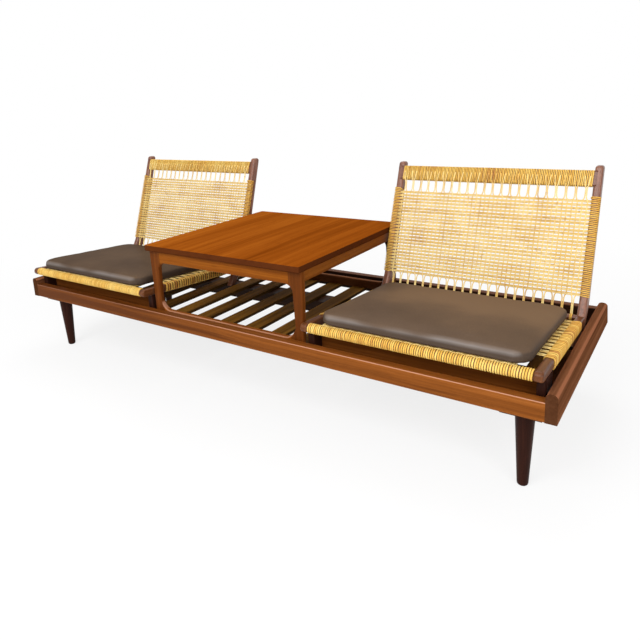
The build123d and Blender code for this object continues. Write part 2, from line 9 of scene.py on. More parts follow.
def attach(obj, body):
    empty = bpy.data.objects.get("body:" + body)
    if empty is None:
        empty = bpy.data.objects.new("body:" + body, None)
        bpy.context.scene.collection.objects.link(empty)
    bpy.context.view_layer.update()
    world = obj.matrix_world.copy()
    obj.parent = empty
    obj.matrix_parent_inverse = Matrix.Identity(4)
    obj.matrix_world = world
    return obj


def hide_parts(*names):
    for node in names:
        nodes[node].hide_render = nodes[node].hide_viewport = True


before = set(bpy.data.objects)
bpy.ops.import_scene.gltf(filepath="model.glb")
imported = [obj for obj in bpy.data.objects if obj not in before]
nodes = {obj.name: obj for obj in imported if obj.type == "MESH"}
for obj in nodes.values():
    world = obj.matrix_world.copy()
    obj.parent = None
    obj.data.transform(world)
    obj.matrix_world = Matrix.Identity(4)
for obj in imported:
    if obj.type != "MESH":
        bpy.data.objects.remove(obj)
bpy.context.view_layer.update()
scene = bpy.context.scene
print("bench: frame loaded,", len(nodes), "nodes")

# Where the chairs stand, in metres, as the CAD has them
chairLook = {
    "centre": 0.597,       # middle of each chair along X
    "halfSpan": 0.288,     # middle of a side frame from the chair's middle
    "noseY": -0.3115,
    "seatZ": 0.303,
    "slope": math.radians(4.0),
    "bendY": 0.1455,
    "bendZ": 0.322,
    "recline": math.radians(19.5),
    "barY": -0.3099,
    "barLength": 0.555,
    "rearBarY": 0.1305,
    "rearBarZ": 0.275,
}


def frameOf(origin, xDir, yDir):
    x = Vector(xDir).normalized()
    y = Vector(yDir).normalized()
    z = x.cross(y)
    turned = Matrix((x, y, z)).transposed().to_4x4()
    return Matrix.Translation(Vector(origin)) @ turned


# Local y up the back, local z out to the front, from the bend of the uprights
def backFrame(x):
    s, c = math.sin(chairLook["recline"]), math.cos(chairLook["recline"])
    return frameOf((x, chairLook["bendY"], chairLook["bendZ"]), (1, 0, 0), (0, s, c))


# Local y along the seat to the back, local z up, from the nose of the rails
def seatFrame(x):
    s, c = math.sin(chairLook["slope"]), math.cos(chairLook["slope"])
    return frameOf((x, chairLook["noseY"], chairLook["seatZ"]), (1, 0, 0), (0, c, -s))


class Wire:
    # one output socket in a finish, so that finishes are written as sums
    def __init__(self, tree, socket=None):
        self.tree = tree
        self.socket = socket

    def feed(self, target, value):
        if isinstance(value, Wire):
            self.tree.links.new(value.socket, target)
        else:
            target.default_value = value

    def make(self, kind, settings=None, inputs=None, output=0):
        node = self.tree.nodes.new(kind)
        for key, value in (settings or {}).items():
            if key == "stops":
                elements = node.color_ramp.elements
                while len(elements) < len(value):
                    elements.new(0.5)
                for element, (place, colour) in zip(elements, value):
                    element.position = place
                    element.color = (*colour, 1)
            else:
                setattr(node, key, value)
        for key, value in (inputs or {}).items():
            self.feed(node.inputs[key], value)
        return Wire(self.tree, node.outputs[output])

    def sum(self, operation, first, second=0.0):
        return self.make("ShaderNodeMath", {"operation": operation}, {0: first, 1: second})

    def __add__(self, other):
        return self.sum("ADD", self, other)

    def __radd__(self, other):
        return self.sum("ADD", other, self)

    def __sub__(self, other):
        return self.sum("SUBTRACT", self, other)

    def __rsub__(self, other):
        return self.sum("SUBTRACT", other, self)

    def __mul__(self, other):
        return self.sum("MULTIPLY", self, other)

    def __rmul__(self, other):
        return self.sum("MULTIPLY", other, self)

    def __truediv__(self, other):
        return self.sum("DIVIDE", self, other)

    def floor(self):
        return self.sum("FLOOR", self)

    def clamp(self, low, high):
        return self.make("ShaderNodeClamp", {}, {0: self, 1: low, 2: high})

    def smooth(self, low, high):
        settings = {"interpolation_type": "SMOOTHSTEP"}
        return self.make("ShaderNodeMapRange", settings, {0: self, 1: low, 2: high})

    def speckle(self, scale, detail=2.0, rough=0.5):
        values = {"Vector": self, "Scale": scale, "Detail": detail, "Roughness": rough}
        return self.make("ShaderNodeTexNoise", {}, values)

    def stretch(self, scale, spot=(0, 0, 0)):
        return self.make("ShaderNodeMapping", {}, {"Vector": self, "Location": spot, "Scale": scale})

    def blendTo(self, first, second):
        settings = {"data_type": "RGBA"}
        return self.make("ShaderNodeMix", settings, {0: self, 6: first, 7: second}, 2)

    def chance(self):
        return self.make("ShaderNodeTexWhiteNoise", {"noise_dimensions": "1D"}, {"W": self})

    def ramp(self, stops):
        return self.make("ShaderNodeValToRGB", {"stops": stops}, {0: self})

    def part(self, axis):
        return self.make("ShaderNodeSeparateXYZ", {}, {0: self}, "XYZ".index(axis))

    def dot(self, direction):
        settings = {"operation": "DOT_PRODUCT"}
        return self.make("ShaderNodeVectorMath", settings, {0: self, 1: direction}, 1)


# A finish starts from object coordinates and ends in one principled shader
def newFinish(name, fixed):
    finish = bpy.data.materials.new(name)
    finish.use_nodes = True
    tree = finish.node_tree
    shader = tree.nodes["Principled BSDF"]
    for socket, value in fixed.items():
        shader.inputs[socket].default_value = value
    place = Wire(tree).make("ShaderNodeTexCoord", {}, {}, "Object")
    return finish, place, shader


def relief(place, height, strength, distance):
    return place.make(
        "ShaderNodeBump", {}, {"Strength": strength, "Distance": distance, "Height": height}
    )


# Oiled teak: broad bands, fine streaks and short dark pores along the grain.
# Runs are how often a mark repeats in a metre along the grain.
grainLook = {
    "wander": 2.2, "bandRun": 0.55, "streakRun": 2.0, "streaksPerBand": 4.5,
    "poreRun": 22, "poresAcross": 700, "bandShare": 0.62,
    "stops": (0.30, 0.50, 0.70), "poreEdge": (0.60, 0.72), "poreShare": 0.45,
    "streakRough": 0.14, "poreRough": 0.1, "streakRise": 0.5, "poreDip": 0.5, "depth": 0.0006,
}

# Where a finish changes with the way a face looks, all of it painted light: painted shade on faces
# that don't look up, painted shade on faces that look to the front, and painted edge light where a
# face turns between up and sideways
faceLook = {
    "shadedSides": (0.55, 0.80), "shadedSidesShare": 0.9,
    "inner": (0.3, 0.7), "frontShadeShare": 0.9,
    "arris": (0.25, 0.50), "arrisEnd": (0.80, 0.97), "paintedEdgeLightShare": 0.8, "paintedEdgeLightDimmed": 0.3,
}

# The glued joint between a loop's bars and its legs, in metres from the joint
jointLook = {
    "blur": 0.0003, "opens": (0.0012, 0.0004), "closes": (0.0002, 0.0010),
    "share": 0.7, "glue": (0.02, 0.006, 0.002),
}


def teakTone(place, look):
    fine = grainLook
    spot = look["spot"]

    def along(run, across):
        return tuple(run if axis == look["grain"] else across for axis in "XYZ")

    wander = place.speckle(fine["wander"], 1.0) - 0.5
    swayed = place.make(
        "ShaderNodeVectorMath",
        {"operation": "SCALE"},
        {0: (1, 1, 1), "Scale": wander * look["sway"]},
    )
    path = place.make("ShaderNodeVectorMath", {"operation": "ADD"}, {0: place, 1: swayed})
    streaksAcross = look["bands"] * fine["streaksPerBand"]
    bands = path.stretch(along(fine["bandRun"], look["bands"]), spot).speckle(1.0, 3.0, 0.6)
    streaks = path.stretch(along(fine["streakRun"], streaksAcross), spot).speckle(1.0, 4.0, 0.6)
    pores = path.stretch(along(fine["poreRun"], fine["poresAcross"]), spot).speckle(1.0, 1.0)
    tone = bands * fine["bandShare"] + streaks * (1 - fine["bandShare"])
    if look.get("boards"):  # each board has its own tone
        start, wide, swing = look["boards"]
        board = ((place.part("X") - start) / wide).floor().chance()
        tone = tone + (board - 0.5) * swing
    # painted light: the tone is made lighter or darker from one end to the other along X, as painted
    # shade
    if look.get("paintedLight"):  # from one end to the other
        low, high, atLow, atHigh = look["paintedLight"]
        tone = tone + place.part("X").smooth(low, high) * (atHigh - atLow) + atLow
    stops = list(zip(fine["stops"], (look["dark"], look["mid"], look["light"])))
    pore = pores.smooth(*fine["poreEdge"])
    colour = (pore * fine["poreShare"]).blendTo(tone.ramp(stops), (*look["dark"], 1))
    return colour, streaks, pore


# The legs of a loop have upright grain, and a thin dark line where the bars meet them
def jointedTone(place, look, colour):
    edge = look["legs"]["from"]
    opens, closes = jointLook["opens"], jointLook["closes"]
    reach = place.part("X").sum("ABSOLUTE", place.part("X"))
    legColour = teakTone(place, {**look, **look["legs"]})[0]
    onLeg = reach.smooth(edge - jointLook["blur"], edge + jointLook["blur"])
    seam = reach.smooth(edge - opens[0], edge - opens[1])
    seam = seam * (1 - reach.smooth(edge + closes[0], edge + closes[1]))
    colour = onLeg.blendTo(colour, legColour)
    return (seam * jointLook["share"]).blendTo(colour, (*jointLook["glue"], 1))


def teakFinish(name, look):
    finish, place, shader = newFinish(name, {"Specular IOR Level": look["gloss"]})
    colour, streaks, pore = teakTone(place, look)
    if look.get("legs"):
        colour = jointedTone(place, look, colour)
    normal = place.make("ShaderNodeTexCoord", {}, {}, "Normal")
    facing = normal.part("Z")
    # painted shade: faces that don't look up are darkened
    if look.get("shadedSides"):
        edge = 1 - facing.smooth(*faceLook["shadedSides"])
        colour = (edge * faceLook["shadedSidesShare"]).blendTo(colour, (*look["shadedSides"], 1))
    # painted shade: faces that look to the front, against Y, are darkened
    if look.get("inner"):
        inward = 0 - normal.part("Y")
        share = look.get("frontShadeShare", faceLook["frontShadeShare"])
        colour = (inward.smooth(*faceLook["inner"]) * share).blendTo(colour, (*look["inner"], 1))
    # painted edge light: rounded top edges are lightened as a painted highlight (darkened in the
    # rear woods), less so towards low X where the painted light runs
    if look.get("paintedEdgeLight"):
        arris = facing.smooth(*faceLook["arris"]) * (1 - facing.smooth(*faceLook["arrisEnd"]))
        share = faceLook["paintedEdgeLightShare"]
        if look.get("paintedLight"):
            paintedLightPart = faceLook["paintedEdgeLightDimmed"]
            share = place.part("X").smooth(*look["paintedLight"][:2]) * (share - paintedLightPart) + paintedLightPart
        colour = (arris * share).blendTo(colour, (*look["paintedEdgeLight"], 1))
    place.feed(shader.inputs["Base Color"], colour)
    rough = look["rough"] + streaks * grainLook["streakRough"] + pore * grainLook["poreRough"]
    place.feed(shader.inputs["Roughness"], rough)
    height = streaks * grainLook["streakRise"] - pore * grainLook["poreDip"]
    place.feed(shader.inputs["Normal"], relief(place, height, look["relief"], grainLook["depth"]))
    return finish


# Woods, from dark to light. The painted light is painted shade along X: from, to, and the change of
# tone at each end.
# The boards are their start along X, their width and how far their tones differ.
tray = {
    "dark": (0.105, 0.028, 0.004),
    "mid": (0.225, 0.066, 0.010),
    "light": (0.350, 0.115, 0.023),
    # painted highlight along the rounded top edges
    "paintedEdgeLight": (0.540, 0.280, 0.190),
    "rough": 0.36, "gloss": 0.05, "relief": 0.25,
    "sway": 0.02, "bands": 40, "spot": (0, 0, 0),
}
endWood = {
    **tray, "dark": (0.075, 0.026, 0.010), "mid": (0.150, 0.056, 0.024),
    "light": (0.230, 0.092, 0.042), "paintedEdgeLight": (0.330, 0.125, 0.060), "gloss": 0.0,
    # painted shade on the faces that look to the front
    "inner": (0.036, 0.013, 0.005), "frontShadeShare": 0.68,
}
# the tray's teak made darker as painted shade, with painted shade on its faces that look to the
# front and darkened edges in place of the edge highlight
shadedRearWood = {
    **tray, "dark": (0.065, 0.019, 0.004), "mid": (0.130, 0.038, 0.008),
    "light": (0.210, 0.066, 0.015), "paintedEdgeLight": (0.070, 0.026, 0.012), "inner": (0.016, 0.007, 0.004),
}
# darker still, as painted shade under the slats
shadedUnderWood = {**shadedRearWood, "dark": (0.020, 0.007, 0.003), "mid": (0.042, 0.014, 0.005)}
# the tray's teak made darker as painted shade under the front bar
shadedStretcherWood = {
    **tray, "dark": (0.070, 0.019, 0.003), "mid": (0.155, 0.044, 0.007),
    "light": (0.250, 0.080, 0.016), "paintedEdgeLight": (0.200, 0.080, 0.030),
}
top = {
    "dark": (0.160, 0.033, 0.002),
    "mid": (0.268, 0.064, 0.005),
    "light": (0.365, 0.098, 0.009),
    "rough": 0.42, "gloss": 0.0, "relief": 0.2,
    "sway": 0.03, "bands": 16, "spot": (3, 1, 7),
}
slat = {
    "dark": (0.050, 0.022, 0.002),
    "mid": (0.146, 0.062, 0.008),
    "light": (0.270, 0.125, 0.018),
    # the slats' sides carry painted shade
    "rough": 0.55, "gloss": 0.03, "relief": 0.3, "shadedSides": (0.020, 0.009, 0.002),
    "sway": 0.01, "bands": 50, "spot": (5, 2, 3),
}
dark = {
    "dark": (0.070, 0.023, 0.011),
    "mid": (0.145, 0.050, 0.024),
    "light": (0.215, 0.082, 0.042),
    "rough": 0.26, "gloss": 0.40, "relief": 0.15,
    "sway": 0.01, "bands": 60, "spot": (1, 8, 2),
}
railWood = {
    **dark, "dark": (0.065, 0.021, 0.007), "mid": (0.115, 0.037, 0.011),
    "light": (0.180, 0.062, 0.020), "gloss": 0.18,
}
# the uprights' dark wood made lighter as a painted highlight
litPostWood = {**dark, "mid": (0.195, 0.076, 0.042), "light": (0.300, 0.130, 0.076)}
legWood = {
    **dark, "dark": (0.014, 0.005, 0.003), "mid": (0.026, 0.008, 0.005),
    "light": (0.042, 0.014, 0.008), "gloss": 0.05,
}
pale = {
    "dark": (0.40, 0.26, 0.13),
    "mid": (0.52, 0.36, 0.20),
    "light": (0.62, 0.46, 0.28),
    "rough": 0.55, "gloss": 0.2, "relief": 0.2,
    "sway": 0.01, "bands": 90, "spot": (2, 2, 2),
}
loopWood = {
    **top, "dark": (0.120, 0.028, 0.002), "mid": (0.215, 0.058, 0.004),
    "light": (0.330, 0.105, 0.010), "bands": 45, "gloss": 0.05,
    "paintedEdgeLight": (0.420, 0.200, 0.120),
}
loopLegs = {
    "dark": (0.055, 0.015, 0.002), "mid": (0.118, 0.030, 0.004),
    "light": (0.210, 0.060, 0.008), "grain": "Z", "from": 0.246,
}
# painted shade on the rear loop's faces that look to the front, and darkened edges in place of the
# edge highlight
rearLoop = {**loopWood, "inner": (0.045, 0.012, 0.003), "paintedEdgeLight": (0.12, 0.04, 0.015)}
topWood = {
    # the table top's edges carry painted shade
    **top, "shadedSides": (0.062, 0.017, 0.006), "boards": (-0.291, 0.0971, 0.07),
    # painted shade: the table top darker towards high X
    "paintedLight": (-0.29, 0.29, 0.10, -0.06),
}
apronWood = {
    **loopWood, "dark": (0.085, 0.022, 0.002), "mid": (0.205, 0.058, 0.007),
    "light": (0.300, 0.098, 0.014),
}

# painted shade: the tray's front rail darker towards low X
trayTeak = teakFinish("trayTeak", {**tray, "grain": "X", "paintedLight": (-0.75, 0.45, -0.20, 0.0)})
endTeak = teakFinish("endTeak", {**endWood, "grain": "Y", "spot": (4, 4, 1)})
shadedRearTeak = teakFinish("shadedRearTeak", {**shadedRearWood, "grain": "X", "spot": (7, 4, 1)})
shadedUnderTeak = teakFinish("shadedUnderTeak", {**shadedUnderWood, "grain": "X", "spot": (2, 6, 1)})
shadedStretcherTeak = teakFinish("shadedStretcherTeak", {**shadedStretcherWood, "grain": "X", "spot": (1, 3, 5)})
slatTeak = teakFinish("slatTeak", {**slat, "grain": "Y", "boards": (-0.886, 0.0985, 0.22)})
tableTeak = teakFinish("tableTeak", {**topWood, "grain": "Y"})
loopTeak = teakFinish("loopTeak", {**loopWood, "grain": "X", "legs": loopLegs})
rearLoopTeak = teakFinish("rearLoopTeak", {**rearLoop, "grain": "X", "legs": loopLegs})
apronTeak = teakFinish("apronTeak", {**apronWood, "grain": "Y"})
darkAlong = teakFinish("darkTeakAlong", {**railWood, "grain": "Y"})
darkUp = teakFinish("darkTeakUp", {**litPostWood, "grain": "Z"})
darkAcross = teakFinish("darkTeakAcross", {**dark, "grain": "X"})
legTeak = teakFinish("legTeak", {**legWood, "grain": "Z"})
dowelBeech = teakFinish("dowelBeech", {**pale, "grain": "Y"})
print("bench: wood finishes made")

steelLook = {
    "brushing": (40, 900, 900), "rough": 0.28, "brushRough": 0.2,
    "stops": [(0.3, (0.42, 0.42, 0.43)), (0.7, (0.62, 0.62, 0.63))],
}


def steelFinish(name):
    finish, place, shader = newFinish(name, {"Metallic": 1.0})
    brushed = place.stretch(steelLook["brushing"]).speckle(1.0, 2.0)
    place.feed(shader.inputs["Base Color"], brushed.ramp(steelLook["stops"]))
    place.feed(shader.inputs["Roughness"], steelLook["rough"] + brushed * steelLook["brushRough"])
    return finish


fixingSteel = steelFinish("fixingSteel")

# Cane: each strand has its own straw tone, with darker knuckles along it and painted shade in its
# grooves, where a strand meets the next
caneLook = {
    "brown": (0.50, 0.200, 0.036),
    "straw": (0.73, 0.405, 0.062),
    "pale": (0.88, 0.62, 0.175),
    "shadow": (0.150, 0.052, 0.010),
    "stops": (0.20, 0.40, 0.74), "strandShare": 0.3, "drift": 14.0,
    "knuckles": 90.0, "knuckleEdge": (0.66, 0.74), "knuckle": 0.4,
    "grooveEdge": (0.55, 1.0), "groove": 0.65,
    "gloss": 0.2, "rough": 0.42, "fibre": 0.25, "fibreRough": 0.2, "relief": 0.15, "depth": 0.0004,
}
weaveCane = {
    **caneLook, "brown": (0.44, 0.195, 0.045), "straw": (0.69, 0.44, 0.115),
    "pale": (0.82, 0.61, 0.240), "stops": (0.18, 0.38, 0.62), "knuckle": 0.6,
}
upCane = {**weaveCane, "straw": (0.72, 0.46, 0.120), "pale": (0.90, 0.69, 0.290)}
postCane = {**caneLook, "straw": (0.72, 0.375, 0.055), "pale": (0.84, 0.54, 0.125)}
railCane = {**postCane, "strandShare": 0.6}


def caneFinish(name, look, direction, start, pitch, along):
    finish, place, shader = newFinish(name, {"Specular IOR Level": look["gloss"]})
    strand = ((place.dot(direction) - start) / pitch).floor().chance()
    drift = place.speckle(look["drift"], 2.0)
    tone = strand * look["strandShare"] + drift * (1 - look["strandShare"])
    stops = list(zip(look["stops"], (look["brown"], look["straw"], look["pale"])))
    colour = tone.ramp(stops)
    fibre = place.stretch(along).speckle(1.0, 2.0)
    knuckle = place.speckle(look["knuckles"], 1.0).smooth(*look["knuckleEdge"])
    colour = (knuckle * look["knuckle"]).blendTo(colour, (*look["brown"], 1))
    colour = (fibre * look["fibre"]).blendTo(colour, (*look["pale"], 1))
    # painted shade: darker where one strand meets the next
    groove = place.make("ShaderNodeAttribute", {"attribute_name": "groove"}, {}, "Fac")
    inGroove = groove.smooth(*look["grooveEdge"]) * look["groove"]
    colour = inGroove.blendTo(colour, (*look["shadow"], 1))
    place.feed(shader.inputs["Base Color"], colour)
    place.feed(shader.inputs["Roughness"], look["rough"] + fibre * look["fibreRough"])
    place.feed(shader.inputs["Normal"], relief(place, fibre, look["relief"], look["depth"]))
    return finish


# Dark leather: pebble grain, a painted highlight along the fold, and fine creases round the sides,
# with painted shade on the sides and in the creases.
# The right pad is painted lighter towards its back right corner, as painted light, and the left pad
# is a darker copy, as painted shade.
leatherLook = {
    "stops": (0.30, 0.52, 0.74),
    "tones": ((0.090, 0.058, 0.040), (0.142, 0.091, 0.058), (0.215, 0.132, 0.076)),
    "cloud": 5.0, "cloudShare": 0.5, "pebbles": 520.0, "pebbleShare": 0.15, "base": 0.17,
    "sideEdge": (0.25, 0.90), "padSideShadeShare": 0.5, "padSideShadeTone": (0.050, 0.038, 0.032),
    "creases": (14, 14, 330), "creaseShadeShare": 0.5, "creaseShadeTone": (0.030, 0.022, 0.018),
    "foldHighlightShare": 0.85, "foldHighlightTone": (0.46, 0.42, 0.40),
    "rough": 0.36, "cloudRough": 0.14, "pebbleRough": 0.06,
    "coat": 0.06, "foldCoat": 0.5, "sideCoat": 0.06, "coatRough": 0.32,
    "pebbleRise": 0.3, "creaseRise": 1.1, "relief": 0.4, "depth": 0.0012,
}
padLitLevels = {
    "left": {"shade": 0.74},
    "right": {"shade": 0.82, "paintedLight": 0.27, "paintedLightX": (0.35, 0.49), "paintedLightY": (-0.25, -0.05)},
}


def leatherFinish(name, pad):
    look = leatherLook
    finish, place, shader = newFinish(
        name, {"Specular IOR Level": 0.0, "Coat Roughness": look["coatRough"]}
    )
    ridge = place.make("ShaderNodeAttribute", {"attribute_name": "ridge"}, {}, "Fac")
    pebble = place.make(
        "ShaderNodeTexVoronoi", {"feature": "SMOOTH_F1"}, {"Vector": place, "Scale": look["pebbles"]}
    )
    cloud = place.speckle(look["cloud"], 3.0)
    facing = place.make("ShaderNodeTexCoord", {}, {}, "Normal").part("Z")
    sides = 1 - facing.smooth(*look["sideEdge"])
    crease = place.stretch(look["creases"]).speckle(1.0, 3.0, 0.6) * sides
    tones = [[part * pad["shade"] for part in tone] for tone in look["tones"]]
    tone = cloud * look["cloudShare"] + pebble * look["pebbleShare"] + look["base"]
    # painted light: a lighter patch towards the back right corner of the right pad
    if pad.get("paintedLight"):
        paintedLightPart = place.part("X").smooth(*pad["paintedLightX"]) * place.part("Y").smooth(*pad["paintedLightY"])
        tone = tone + paintedLightPart * pad["paintedLight"]
    colour = tone.ramp(list(zip(look["stops"], tones)))
    # painted shade: the sides that don't look up are darkened
    colour = (sides * look["padSideShadeShare"]).blendTo(colour, (*look["padSideShadeTone"], 1))
    # painted shade in the creases round the sides
    colour = (crease * look["creaseShadeShare"]).blendTo(colour, (*look["creaseShadeTone"], 1))
    # painted highlight along the fold behind the front edge
    colour = (ridge * look["foldHighlightShare"]).blendTo(colour, (*look["foldHighlightTone"], 1))
    place.feed(shader.inputs["Base Color"], colour)
    rough = look["rough"] + cloud * look["cloudRough"] - pebble * look["pebbleRough"]
    place.feed(shader.inputs["Roughness"], rough)
    coat = look["coat"] + ridge * look["foldCoat"] + sides * look["sideCoat"]
    place.feed(shader.inputs["Coat Weight"], coat)
    height = pebble * look["pebbleRise"] + crease * look["creaseRise"]
    place.feed(shader.inputs["Normal"], relief(place, height, look["relief"], look["depth"]))
    return finish


padLeather = {side: leatherFinish(side + "PadLeather", pad) for side, pad in padLitLevels.items()}
print("bench: steel and leather finishes made")


def dress(finish, *names):
    for name in names:
        node = nodes[name]
        node.data.materials.clear()
        node.data.materials.append(finish)


dress(trayTeak, "front_rail")
dress(shadedRearTeak, "rear_rail")
dress(shadedUnderTeak, "front_ledger", "rear_ledger", "slat_beam")
dress(endTeak, "left_end_rail", "right_end_rail", "left_leg_cleat", "right_leg_cleat")
dress(slatTeak, "slats_left", "slats_middle", "slats_right")
dress(tableTeak, "table_top")
dress(loopTeak, "table_front_loop")
dress(rearLoopTeak, "table_rear_loop")
dress(apronTeak, "table_left_apron", "table_right_apron", "table_corner_blocks")
dress(fixingSteel, "table_screws", "leg_plates", "leg_bolts")
dress(dowelBeech, "tray_dowels")
for corner in ("front_left", "front_right", "rear_left", "rear_right"):
    dress(legTeak, corner + "_leg")
for side in ("left", "right"):
    chair = side + "_chair_"
    dress(darkAlong, chair + "outer_rail", chair + "inner_rail")
    dress(darkUp, chair + "outer_upright", chair + "inner_upright")
    # the front feet take the near-black leg finish as painted shade under the seat
    dress(legTeak, chair + "front_feet")
    dress(darkAcross, chair + "front_bar", chair + "rear_bar", chair + "top_bar")
    dress(shadedStretcherTeak, chair + "front_stretcher")
    dress(dowelBeech, chair + "dowels")
print("bench: frame dressed")


def addPiece(name, mesh, finish, body, stoodFor):
    mesh.materials.clear()
    mesh.materials.append(finish)
    mesh.shade_smooth()
    piece = bpy.data.objects.new(name, mesh)
    scene.collection.objects.link(piece)
    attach(piece, body)
    if stoodFor:
        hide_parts(*stoodFor)


# How far a value has come from low to high, from 0 to 1
def rise(value, low, high):
    return min(1.0, max(0.0, (value - low) / (high - low)))


# 1 at a place, falling to 0 a reach away on both sides
def near(value, place, reach):
    return max(0.0, 1 - abs(value - place) / reach)


# A strand of cane: the sides of its section, and how finely it bends round corners and in the weave
strandLook = {"sides": 6, "cornerSteps": 3, "order": 3, "bendSteps": 2, "merge": 1e-5}


# One turn of cane round a bar with rounded edges, about local z
def caneTurn(look):
    thick = look["thick"]
    bend = look["radius"] - thick / 2
    reachX, reachY = (look["width"] - thick) / 2 - bend, (look["height"] - thick) / 2 - bend
    bm = bmesh.new()
    groove = bm.verts.layers.float.new("groove")  # highest where a strand meets the next
    sides, steps = strandLook["sides"], strandLook["cornerSteps"]
    ring = bmesh.ops.create_circle(bm, cap_ends=False, segments=sides, radius=0.5)["verts"]
    upright = Matrix.Rotation(math.pi / 2, 3, "X")
    bmesh.ops.rotate(bm, verts=ring, cent=(0, 0, 0), matrix=upright)
    bmesh.ops.scale(bm, verts=ring, vec=(thick, 1, look["strand"]))
    for vert in ring:
        vert[groove] = abs(vert.co.z) / (look["strand"] / 2)
    bmesh.ops.translate(bm, verts=ring, vec=(reachX + bend, -reachY, 0))
    rim = list({edge for vert in ring for edge in vert.link_edges})
    corners = ((1, 1, 0, 1), (-1, 1, -1, 0), (-1, -1, 0, -1), (1, -1, 1, 0))
    for cornerX, cornerY, headX, headY in corners:
        run = Vector((2 * reachX * headX, 2 * reachY * headY, 0))
        if run.length > strandLook["merge"]:
            grown = bmesh.ops.extrude_edge_only(bm, edges=rim)["geom"]
            moved = {part for part in grown if isinstance(part, bmesh.types.BMVert)}
            bmesh.ops.translate(bm, verts=list(moved), vec=run)
            edges = [part for part in grown if isinstance(part, bmesh.types.BMEdge)]
            rim = [edge for edge in edges if moved.issuperset(edge.verts)]
        verts = list({vert for edge in rim for vert in edge.verts})
        centre = (cornerX * reachX, cornerY * reachY, 0)
        spun = bmesh.ops.spin(
            bm, geom=verts + rim, cent=centre, axis=(0, 0, 1), angle=math.pi / 2, steps=steps
        )
        rim = [part for part in spun["geom_last"] if isinstance(part, bmesh.types.BMEdge)]
    bmesh.ops.remove_doubles(bm, verts=bm.verts, dist=strandLook["merge"])
    bmesh.ops.recalc_face_normals(bm, faces=bm.faces)
    mesh = bpy.data.meshes.new("caneTurn")
    bm.to_mesh(mesh)
    bm.free()
    return mesh


# Close-laid turns along local z, each a little off the last as a hand lays them.
# Gathered turns draw together on one side, where they run into the weave: in pairs, and in groups.
# Slip and shift are shares of the pitch, thin is a share of the strand's width, and the limits of
# pairs and groups count inwards from the bar's middle, 0.5 at its side.
layLook = {
    "fullness": (0.92, 1.06), "slip": 0.06,
    "pairIn": (0.24, 0.44), "pairShift": 0.22, "pairThin": 0.4,
    "groupIn": (-1 / 30, 0.3),
}


def caneWinding(look, seed, gather):
    chances = random.Random(seed)
    turn = caneTurn(look)
    bm = bmesh.new()
    pitch = look["length"] / look["turns"]
    for place in range(look["turns"]):
        laid = turn.copy()
        fullness = chances.uniform(*layLook["fullness"])
        laid.transform(Matrix.Diagonal((1, 1, fullness, 1)))
        if gather:
            partner = 1 if place % 2 == 0 else -1
            fromMiddle = place % look["group"] - (look["group"] - 1) / 2
            for vert in laid.vertices:
                inward = gather * vert.co.x / look["width"]
                paired = rise(inward, *layLook["pairIn"])
                grouped = rise(inward, *layLook["groupIn"]) * look["squeeze"]
                vert.co.z *= 1 - layLook["pairThin"] * paired
                vert.co.z += partner * max(paired, look["paired"]) * layLook["pairShift"] * pitch
                vert.co.z -= fromMiddle * grouped * pitch
        for axis in "XY":
            lean = look["lean"].get(axis, 0) + chances.uniform(-1, 1) * look["stray"]
            laid.transform(Matrix.Rotation(math.radians(lean), 4, axis))
        slip = chances.uniform(-layLook["slip"], layLook["slip"]) * pitch
        laid.transform(Matrix.Translation((0, 0, (place + 0.5) * pitch + slip)))
        bm.from_mesh(laid)
        bpy.data.meshes.remove(laid)
    bpy.data.meshes.remove(turn)
    return bm


def boundMesh(name, bm, place):
    mesh = bpy.data.meshes.new(name)
    bm.to_mesh(mesh)
    bm.free()
    mesh.transform(place)
    return mesh


# Strands laid as smooth lines with a flattened section, made flat and then set in place
def strandMesh(name, paths, width, thick, place):
    section = bpy.data.curves.new(name + "Section", "CURVE")
    oval = section.splines.new("POLY")
    oval.points.add(strandLook["sides"] - 1)
    for step, point in enumerate(oval.points):
        turn = math.tau * step / strandLook["sides"]
        point.co = (math.cos(turn) * width / 2, math.sin(turn) * thick / 2, 0, 1)
    oval.use_cyclic_u = True
    sectionHolder = bpy.data.objects.new(name + "Section", section)
    scene.collection.objects.link(sectionHolder)
    lay = bpy.data.curves.new(name, "CURVE")
    lay.dimensions = "3D"
    lay.twist_mode = "Z_UP"
    lay.bevel_mode = "OBJECT"
    lay.bevel_object = sectionHolder
    lay.use_fill_caps = True
    for path in paths:
        strand = lay.splines.new("NURBS")
        strand.points.add(len(path) - 1)
        for point, spot in zip(strand.points, path):
            point.co = (*spot, 1)
        strand.order_u = strandLook["order"]
        strand.use_endpoint_u = True
        strand.resolution_u = strandLook["bendSteps"]
    holder = bpy.data.objects.new(name, lay)
    scene.collection.objects.link(holder)
    seen = holder.evaluated_get(bpy.context.evaluated_depsgraph_get())
    mesh = bpy.data.meshes.new_from_object(seen)
    bpy.data.objects.remove(holder)
    bpy.data.objects.remove(sectionHolder)
    mesh.transform(place)
    return mesh


